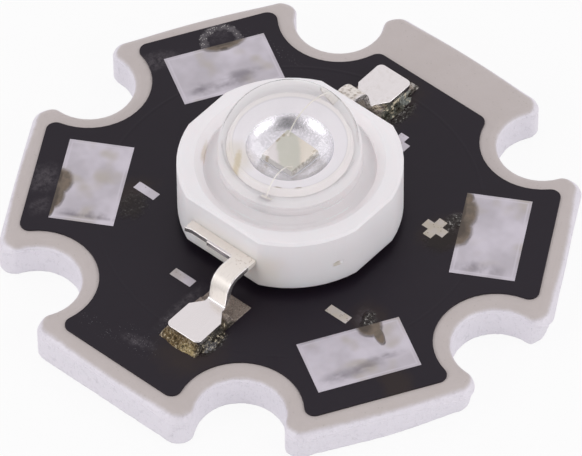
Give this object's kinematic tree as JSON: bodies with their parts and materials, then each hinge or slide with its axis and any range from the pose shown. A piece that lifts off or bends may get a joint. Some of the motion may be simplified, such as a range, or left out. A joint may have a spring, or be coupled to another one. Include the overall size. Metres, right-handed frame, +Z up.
{
  "type": "high-power led on star board",
  "caption": "Round white high-power LED emitter with a clear dome lens, soldered by two bent leads on a flat star-shaped metal-core board with screw notches and tinned wire pads.",
  "frame": {"origin": "centre of the board's underside, on the axis of the emitter", "axes": "+Z up through the dome of the lens, +X along the arm with the wide bare strip, where the positive lead is soldered"},
  "size_m": [0.0198, 0.0202, 0.0071],
  "materials": {
    "core": "punched",
    "dielectric": "matte",
    "copper": "satin",
    "mask": "satin",
    "tin": "satin",
    "solder": "dull",
    "lead": "satin",
    "slug": "satin",
    "attach": "satin",
    "chip": "satin",
    "gold": "polished",
    "housing": "satin",
    "gel": "clear",
    "lens": "clear"
  },
  "bodies": {
    "root": {"aluminium_core": "core", "dielectric_layer": "dielectric", "copper_negative": "copper", "copper_positive": "copper", "copper_thermal": "copper", "solder_mask": "mask", "wire_pad_60": "tin", "wire_pad_120": "tin", "wire_pad_240": "tin", "wire_pad_300": "tin", "minus_mark_left": "tin", "minus_mark_front": "tin", "minus_mark_rear": "tin", "plus_mark_right": "tin", "plus_mark_front": "tin", "plus_mark_rear": "tin", "solder_joint_negative": "solder", "solder_joint_positive": "solder", "slug_solder": "solder", "heat_slug": "slug", "die_attach": "attach", "led_chip": "chip", "lead_negative": "lead", "lead_positive": "lead", "housing": "housing", "bond_wire_negative": "gold", "bond_wire_positive": "gold", "silicone_gel": "gel", "lens": "lens"}
  },
  "joints": []
}
